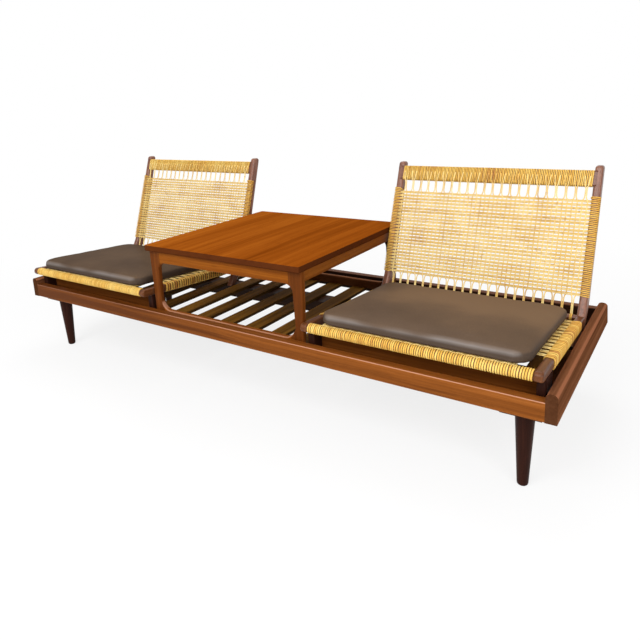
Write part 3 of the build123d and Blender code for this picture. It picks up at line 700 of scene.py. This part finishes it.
# Turns of cane on the bars and sides: sizes in metres, lean and stray in degrees.
# Fibres are marks to a metre along X, Y and Z, few along the strands and many across them.
frontLook = {
    "width": 0.0272, "height": 0.0272, "radius": 0.0136, "strand": 0.0048, "thick": 0.0030,
    "turns": 100, "length": chairLook["barLength"], "lean": {"X": 5}, "stray": 1.6, "seed": 3,
    "cane": caneLook, "toneTurns": 1, "fibres": (900, 60, 60),
}
topLook = {
    "width": 0.0164, "height": 0.0464, "radius": 0.0062, "strand": 0.0037, "thick": 0.0022,
    "turns": 124, "length": chairLook["barLength"], "lean": {"X": 2}, "stray": 0.5, "seed": 5,
    "cane": caneLook, "toneTurns": 1, "fibres": (900, 60, 60), "middle": 0.326, "depth": 0.006,
}
railLook = {
    "width": 0.0254, "height": 0.0284, "radius": 0.0070, "strand": 0.0037, "thick": 0.0025,
    "turns": 60, "length": 0.302, "lean": {"Y": 4}, "stray": 1.4, "seed": 7,
    "cane": railCane, "toneTurns": 2, "fibres": (60, 900, 60), "start": 0.081,
    "group": 5, "squeeze": 0.16, "paired": 0.9,
}
postLook = {
    "width": 0.0254, "height": 0.0184, "radius": 0.0050, "strand": 0.0037, "thick": 0.0025,
    "turns": 54, "length": 0.270, "lean": {"Y": 4}, "stray": 1.4, "seed": 17,
    "cane": postCane, "toneTurns": 1, "fibres": (60, 60, 900), "start": 0.008, "depth": 0.007,
    "group": 1, "squeeze": 0, "paired": 0,
}
loopLook = {
    "width": 0.0204, "height": 0.0204, "radius": 0.0102, "strand": 0.0036, "thick": 0.0021,
    "apart": 0.0019, "stray": 2.0, "seed": 31,
    "cane": caneLook, "tonePitch": 0.0125, "fibres": (900, 60, 60),
}

# The weave: pairs of strands up and down, spread evenly where rows of strands cross them
backLook = {
    "pairs": 22, "width": 0.5508, "spread": 0.0063, "drawn": 0.0017,
    "rows": 26, "low": 0.013, "high": 0.263, "rowStrands": (-0.0018, 0.0018),
    "rowWide": 0.0035, "rowThick": 0.0020, "sway": 0.0018,
    "upWide": 0.0031, "upThick": 0.0018,
    "level": 0.0004, "reach": 0.2775, "endRoom": 0.002,
    "rowStray": 0.0005, "rowWobble": 0.0004, "upStray": 0.0007, "headSlant": 0.0012,
    "drawnFrom": 0.0085, "spreadFrom": 0.0040, "spreadShare": 0.9, "seed": 11,
    "rowFibres": (60, 900, 900), "upFibres": (900, 60, 60),
    "foot": ((0.0017, -0.043, -0.0020), (0.0017, -0.036, 0.0004)),
    "head": (
        (0.0017, 0.297, 0.0004), (0.0024, 0.301, 0.0022), (0.0040, 0.307, 0.0040),
        (0.0058, 0.318, 0.0040), (0.0066, 0.327, 0.0036), (0.0070, 0.332, 0.0010),
    ),
}
seatLook = {
    **backLook, "pairs": 20, "width": 0.5007,
    "rows": 12, "low": 0.0936, "high": 0.3704,
    "frontRows": (0.0090, 0.0240), "frontSpan": 0.236,
    "rowStrands": (-0.0054, -0.0018, 0.0018, 0.0054),
    "rowWide": 0.0034, "level": 0.0132, "reach": 0.2785, "seed": 23,
    "foot": ((0.0017, 0.002, 0.0126), (0.0017, 0.010, 0.0132)),
    "head": ((0.0017, 0.432, 0.0134), (0.0017, 0.442, 0.0118)),
}


def pairPlaces(look):
    pitch = look["width"] / look["pairs"]
    return [(pair - (look["pairs"] - 1) / 2) * pitch for pair in range(look["pairs"])]


def rowPlaces(look):
    pitch = (look["high"] - look["low"]) / (look["rows"] - 1)
    return [look["low"] + row * pitch for row in range(look["rows"])]


# Strands across, over and under the upright ones by turns
def rowPaths(look, chances):
    ups = [middle + hand * look["spread"] for middle in pairPlaces(look) for hand in (-1, 1)]
    spots = [(spot, look["reach"]) for spot in rowPlaces(look)]
    spots += [(spot, look["frontSpan"]) for spot in look.get("frontRows", ())]
    paths = []
    for row, (spot, reach) in enumerate(spots):
        stray = chances.uniform(-look["rowStray"], look["rowStray"])
        for offset in look["rowStrands"]:
            path = [(-reach, spot + offset, look["level"])]
            for number, x in enumerate(ups):
                over = 1 if (number + row) % 2 else -1
                wobble = chances.uniform(-look["rowWobble"], look["rowWobble"]) + stray
                if abs(x) < reach - look["endRoom"]:
                    path.append((x, spot + offset + wobble, look["level"] + over * look["sway"]))
            path.append((reach, spot + offset, look["level"]))
            paths.append(path)
    return paths


# Upright strands: drawn into pairs above and below the rows, and spread between them
def upPaths(look, chances):
    rows = rowPlaces(look)
    level = look["level"]
    paths = []
    number = 0
    for middle in pairPlaces(look):
        slant = chances.uniform(-look["headSlant"], look["headSlant"])
        for hand in (-1, 1):
            drawnX = middle + hand * look["drawn"]
            spreadX = middle + hand * look["spread"]
            opened = middle + hand * look["spread"] * look["spreadShare"]
            path = [(middle + hand * out, y, z) for out, y, z in look["foot"]]
            path.append((drawnX, rows[0] - look["drawnFrom"], level))
            path.append((opened, rows[0] - look["spreadFrom"], level))
            for row, spot in enumerate(rows):
                over = -1 if (number + row) % 2 else 1
                x = spreadX + chances.uniform(-look["upStray"], look["upStray"])
                path.append((x, spot, level + over * look["sway"]))
            path.append((opened, rows[-1] + look["spreadFrom"], level))
            path.append((drawnX, rows[-1] + look["drawnFrom"], level))
            path += [(middle + slant + hand * out, y, z) for out, y, z in look["head"]]
            paths.append(path)
            number += 1
    return paths


def weave(side, centre, part, look, place):
    chances = random.Random(look["seed"])
    chair = side + "_chair"
    run = place.to_3x3() @ Vector((0, 1, 0))
    rows = rowPlaces(look)
    pitch = (rows[1] - rows[0]) / len(look["rowStrands"])
    start = place.translation.dot(run) + rows[0] - (rows[1] - rows[0]) / 2
    name = f"{side}{part}Row"
    finish = caneFinish(name + "Cane", weaveCane, tuple(run), start, pitch, look["rowFibres"])
    mesh = strandMesh(name, rowPaths(look, chances), look["rowWide"], look["rowThick"], place)
    stoodFor = [f"{chair}_{part.lower()}_cane"]
    addPiece(f"{side}_{part.lower()}_rows", mesh, finish, chair, stoodFor)
    pitch = look["width"] / look["pairs"] / 2
    start = centre - look["width"] / 2
    name = f"{side}{part}Strand"
    finish = caneFinish(name + "Cane", upCane, (1, 0, 0), start, pitch, look["upFibres"])
    mesh = strandMesh(name, upPaths(look, chances), look["upWide"], look["upThick"], place)
    addPiece(f"{side}_{part.lower()}_strands", mesh, finish, chair, [])


# Each pair of strands is made fast round the rear bar by its own two turns
def tieRearBar(side, centre):
    look = loopLook
    bm = bmesh.new()
    turn = caneTurn(look)
    chances = random.Random(look["seed"])
    for middle in pairPlaces(backLook):
        for hand in (-1, 1):
            laid = turn.copy()
            lean = chances.uniform(-look["stray"], look["stray"])
            laid.transform(Matrix.Rotation(math.radians(lean), 4, "Y"))
            laid.transform(Matrix.Translation((0, 0, middle + hand * look["apart"])))
            bm.from_mesh(laid)
            bpy.data.meshes.remove(laid)
    bpy.data.meshes.remove(turn)
    spot = (centre, chairLook["rearBarY"], chairLook["rearBarZ"])
    mesh = boundMesh(side + "RearTies", bm, frameOf(spot, (0, 1, 0), (0, 0, 1)))
    pitch, fibres = look["tonePitch"], look["fibres"]
    finish = caneFinish(side + "TieCane", look["cane"], (1, 0, 0), centre, pitch, fibres)
    addPiece(side + "_rear_ties", mesh, finish, side + "_chair", [])


# A winding starts at its place and runs along the place's local z
def wind(side, name, look, place, stoodFor, gather=0, number=0):
    run = place.to_3x3() @ Vector((0, 0, 1))
    start = place.translation.dot(run)
    pitch = look["length"] / look["turns"] * look["toneTurns"]
    title = f"{side}_{name}"
    finish = caneFinish(title + "_cane", look["cane"], tuple(run), start, pitch, look["fibres"])
    mesh = boundMesh(title, caneWinding(look, look["seed"] + number, gather), place)
    addPiece(title, mesh, finish, side + "_chair", stoodFor)


def windChair(side, centre):
    chair = side + "_chair_"
    end = centre - chairLook["barLength"] / 2
    s, c = math.sin(chairLook["recline"]), math.cos(chairLook["recline"])
    place = frameOf((end, chairLook["barY"], chairLook["seatZ"]), (0, 1, 0), (0, 0, 1))
    wind(side, "front_winding", frontLook, place, [chair + "front_bar_wrap"])
    start = backFrame(end) @ Vector((0, topLook["middle"], -topLook["depth"]))
    place = frameOf(start, (0, c, -s), (0, s, c))
    wind(side, "top_winding", topLook, place, [chair + "top_bar_wrap"])
    for number, hand in enumerate((-1, 1)):  # one node stands for both sides, so the second names it
        x = centre + hand * chairLook["halfSpan"]
        seat = seatFrame(x)
        start = seat @ Vector((0, railLook["start"], 0))
        place = frameOf(start, (-1, 0, 0), seat.to_3x3() @ Vector((0, 0, 1)))
        stoodFor = [chair + "rail_wraps"] if number else []
        wind(side, f"rail_winding_{number}", railLook, place, stoodFor, hand, number)
        start = backFrame(x) @ Vector((0, postLook["start"], -postLook["depth"]))
        place = frameOf(start, (1, 0, 0), (0, c, -s))
        stoodFor = [chair + "upright_wraps"] if number else []
        wind(side, f"post_winding_{number}", postLook, place, stoodFor, -hand, number)


for side, hand in (("left", -1), ("right", 1)):
    centre = hand * chairLook["centre"]
    windChair(side, centre)
    weave(side, centre, "Back", backLook, backFrame(centre))
    weave(side, centre, "Seat", seatLook, seatFrame(centre))
    tieRearBar(side, centre)
    print("bench:", side, "chair wound and woven")

# Loose pads, in metres, made flat and then laid on the seat
padLook = {
    "width": 0.530, "depth": 0.400, "side": 0.027, "corner": 0.034, "cornerSteps": 6,
    "topEdge": 0.009, "lowEdge": 0.004, "edgeSteps": 3, "shrink": 0.003,
    "crown": 0.010, "crownPower": 3,
    "voxel": 0.0055, "pressure": 4.0, "tension": 18, "bending": 0.8, "frames": 20, "cap": 0.005,
    "middleY": 0.199, "lift": 0.0153, "leftShift": 0.0, "rightShift": 0.008,
}

# The fold of leather behind the front edge, each place with its reach
foldLook = {
    "back": (0.010, 0.018), "shineBack": (0.005, 0.006), "below": (0.001, 0.010),
    "waves": 11, "waveSpot": (0.3, 1.7), "height": 0.0015, "heightSwing": 0.0032,
    "shine": 0.75, "shineSwing": 0.9,
}
# Dents round the sides, and the front drawn out over the bar and down
coverLook = {
    "dents": (16, 16, 60), "dentDepth": 0.0011, "floor": 0.0003,
    "frontReach": 0.010, "frontDepth": 0.030, "straight": 0.86,
    "frontDroop": 0.0055, "barEdge": 0.002, "droopOver": 0.009,
}


def padForm():
    look = padLook
    bm = bmesh.new()
    bmesh.ops.create_cube(bm, size=1.0)
    size = (look["width"] - look["shrink"], look["depth"] - look["shrink"], look["side"])
    bmesh.ops.scale(bm, verts=bm.verts, vec=size)
    bmesh.ops.translate(bm, verts=bm.verts, vec=(0, 0, look["side"] / 2))
    upright = [e for e in bm.edges if e.verts[0].co.z != e.verts[1].co.z]
    bmesh.ops.bevel(
        bm, geom=upright, offset=look["corner"], offset_type="OFFSET", affect="EDGES",
        segments=look["cornerSteps"], profile=0.5, material=-1
    )
    for level, bend in ((0.0, look["lowEdge"]), (look["side"], look["topEdge"])):
        rim = [e for e in bm.edges if all(abs(v.co.z - level) < 1e-5 for v in e.verts)]
        bmesh.ops.bevel(
            bm, geom=rim, offset=bend, offset_type="OFFSET", affect="EDGES",
            segments=look["edgeSteps"], profile=0.5, material=-1
        )
    bmesh.ops.recalc_face_normals(bm, faces=bm.faces)
    return bm


# The filling stands highest in the middle
def crownPad(mesh):
    look = padLook
    for vert in mesh.vertices:
        acrossShare = min(1.0, abs(2 * vert.co.x / look["width"]))
        depthShare = min(1.0, abs(2 * vert.co.y / look["depth"]))
        dome = (1 - acrossShare ** look["crownPower"]) * (1 - depthShare ** look["crownPower"])
        vert.co.z += look["crown"] * dome * rise(vert.co.z, look["side"] / 2, look["side"])


# The cover swells under its filling; gravity is off and each point's travel is capped
def swell(piece):
    look = padLook
    rest = [vert.co.copy() for vert in piece.data.vertices]
    cloth = piece.modifiers.new("Cover", "CLOTH")
    cloth.settings.use_pressure = True
    cloth.settings.uniform_pressure_force = look["pressure"]
    cloth.settings.tension_stiffness = look["tension"]
    cloth.settings.bending_stiffness = look["bending"]
    cloth.settings.effector_weights.gravity = 0
    cloth.collision_settings.use_collision = False
    cloth.point_cache.frame_start = 1
    cloth.point_cache.frame_end = look["frames"]
    for step in range(1, look["frames"] + 1):
        scene.frame_set(step)
    seen = piece.evaluated_get(bpy.context.evaluated_depsgraph_get())
    swollen = [vert.co.copy() for vert in seen.data.vertices]
    piece.modifiers.remove(cloth)
    scene.frame_set(1)
    for vert, before, after in zip(piece.data.vertices, rest, swollen):
        travel = after - before
        if travel.length > look["cap"]:
            travel = travel.normalized() * look["cap"]
        vert.co = before + travel


# Flat where it lies, with a wavy fold along the front edge and soft dents round the sides
def finishPad(mesh):
    look, fold, cover = padLook, foldLook, coverLook
    front = -look["depth"] / 2
    half = look["side"] / 2
    foldBack, foldReach = fold["back"]
    shineBack, shineReach = fold["shineBack"]
    below, belowReach = fold["below"]
    # ridge marks where a painted highlight runs along the fold
    ridge = mesh.attributes.new("ridge", "FLOAT", "POINT")
    for vert in mesh.vertices:
        spot = vert.co
        wave = noise.noise(Vector((spot.x * fold["waves"], *fold["waveSpot"])))
        high = near(spot.z, look["side"] - below, belowReach)
        folded = near(spot.y, front + foldBack, foldReach) * high
        spot.z += folded * (fold["height"] + fold["heightSwing"] * wave)
        shine = rise(fold["shine"] + fold["shineSwing"] * wave, 0, 1)
        ridge.data[vert.index].value = near(spot.y, front + shineBack, shineReach) * high * shine
        dent = noise.noise(Vector([part * often for part, often in zip(spot, cover["dents"])]))
        spot += vert.normal * dent * cover["dentDepth"] * near(spot.z, half, half)
        spot.z = max(spot.z, cover["floor"])
        nearFront = max(0.0, 1 - (spot.y - front) / cover["frontDepth"])
        straight = 1 - rise(abs(spot.x) / (look["width"] / 2), cover["straight"], 1)
        spot.y -= cover["frontReach"] * nearFront * straight
        pastBar = -spot.y - look["middleY"]
        spot.z -= cover["frontDroop"] * rise(pastBar - cover["barEdge"], 0, cover["droopOver"])


def makePad(side, centre):
    look = padLook
    bm = padForm()
    mesh = bpy.data.meshes.new(side + "Pad")
    bm.to_mesh(mesh)
    bm.free()
    piece = bpy.data.objects.new(side + "_seat_pad", mesh)
    scene.collection.objects.link(piece)
    remesh = piece.modifiers.new("Even", "REMESH")
    remesh.mode = "VOXEL"
    remesh.voxel_size = look["voxel"]
    seen = piece.evaluated_get(bpy.context.evaluated_depsgraph_get())
    even = bpy.data.meshes.new_from_object(seen)
    piece.modifiers.remove(remesh)
    piece.data = even
    crownPad(even)
    swell(piece)
    finishPad(piece.data)
    shift = look[side + "Shift"]
    place = seatFrame(centre + shift) @ Matrix.Translation((0, look["middleY"], look["lift"]))
    piece.data.transform(place)
    piece.data.materials.clear()
    piece.data.materials.append(padLeather[side])
    piece.data.shade_smooth()
    soften = piece.modifiers.new("Soften", "SUBSURF")
    soften.levels = 1
    soften.render_levels = 1
    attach(piece, side + "_pad")
    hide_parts(side + "_pad")


for side, hand in (("left", -1), ("right", 1)):
    makePad(side, hand * chairLook["centre"])
    print("bench:", side, "pad filled")

# Camera at the photograph's angle
cameraLook = {
    "place": (1.142567, -1.473077, 0.874096),
    "pitch": 0.236232, "roll": -0.048963, "yaw": 0.606755,
    "lens": 33.406, "sensor": 36, "shiftX": 0.0156, "shiftY": -0.1235,
}


def setCamera():
    look = cameraLook
    sp, cp = math.sin(look["pitch"]), math.cos(look["pitch"])
    sy, cy = math.sin(look["yaw"]), math.cos(look["yaw"])
    sr, cr = math.sin(look["roll"]), math.cos(look["roll"])
    ahead = Vector((-sy * cp, cy * cp, -sp))
    right = Vector((cy, sy, 0))
    up = right.cross(ahead)
    camera = bpy.data.cameras.new("camera")
    camera.lens = look["lens"]
    camera.sensor_width = look["sensor"]
    camera.shift_x = look["shiftX"]
    camera.shift_y = look["shiftY"]
    holder = bpy.data.objects.new("camera", camera)
    scene.collection.objects.link(holder)
    holder.matrix_world = frameOf(look["place"], cr * right + sr * up, -sr * right + cr * up)
    scene.camera = holder


setCamera()

# Studio: pale floor, even sky and soft boxes. A box is its place, its aim, its size and its power.
studioLook = {
    "sky": 0.5, "white": (1, 1, 1, 1),
    "floorSize": 14.0, "floorColour": (0.9, 0.9, 0.9, 1), "floorRough": 0.9,
    "nearGlow": 0.80, "glowRises": (0.9, 2.4),
    "boxes": (
        ((0.0, -2.8, 2.6), (0.2, 0.0, 0.3), 2.2, 85),
        ((2.9, -2.2, 1.8), (0.3, 0.0, 0.3), 1.8, 55),
        ((-0.6, 1.4, 3.4), (0.0, 0.2, 0.3), 2.4, 35),
    ),
}


# 1 for what the camera sees, straight, mirrored or through something clear
def seenRays(tree):
    start = Wire(tree)
    kinds = ("Is Camera Ray", "Is Glossy Ray", "Is Transmission Ray")
    camera, mirrored, clear = (start.make("ShaderNodeLightPath", {}, {}, kind) for kind in kinds)
    return (camera + mirrored + clear).clamp(0, 1)


# The floor is white further out and takes the bench's shadow near it
def setFloor():
    look = studioLook
    bm = bmesh.new()
    bmesh.ops.create_grid(bm, x_segments=4, y_segments=4, size=look["floorSize"])
    mesh = boundMesh("floor", bm, Matrix.Identity(4))
    floor = bpy.data.objects.new("floor", mesh)
    scene.collection.objects.link(floor)
    fixed = {"Base Color": look["floorColour"], "Roughness": look["floorRough"]}
    finish, place, shader = newFinish("floorPaint", fixed)
    tree = finish.node_tree
    distance = place.make("ShaderNodeVectorMath", {"operation": "LENGTH"}, {0: place}, 1)
    away = look["nearGlow"] + distance.smooth(*look["glowRises"]) * (1 - look["nearGlow"])
    glow = place.make("ShaderNodeEmission", {}, {"Color": look["white"], "Strength": 1.0})
    paint = Wire(tree, shader.outputs[0])
    mixed = place.make("ShaderNodeMixShader", {}, {0: seenRays(tree) * away, 1: paint, 2: glow})
    place.feed(tree.nodes["Material Output"].inputs["Surface"], mixed)
    mesh.materials.append(finish)


def setStudio():
    look = studioLook
    setFloor()
    world = bpy.data.worlds.new("studio")
    world.use_nodes = True
    scene.world = world
    tree = world.node_tree
    sky = tree.nodes["Background"]
    sky.inputs["Color"].default_value = look["white"]
    Wire(tree).feed(sky.inputs["Strength"], look["sky"] + seenRays(tree) * (1 - look["sky"]))
    for number, (spot, aim, size, power) in enumerate(look["boxes"]):
        lamp = bpy.data.lights.new(f"softBox{number}", "AREA")
        lamp.size = size
        lamp.energy = power
        holder = bpy.data.objects.new(f"softBox{number}", lamp)
        scene.collection.objects.link(holder)
        holder.location = spot
        holder.rotation_euler = (Vector(aim) - Vector(spot)).to_track_quat("-Z", "Y").to_euler()


setStudio()
scene.view_settings.view_transform = "Standard"
print("bench: studio ready")
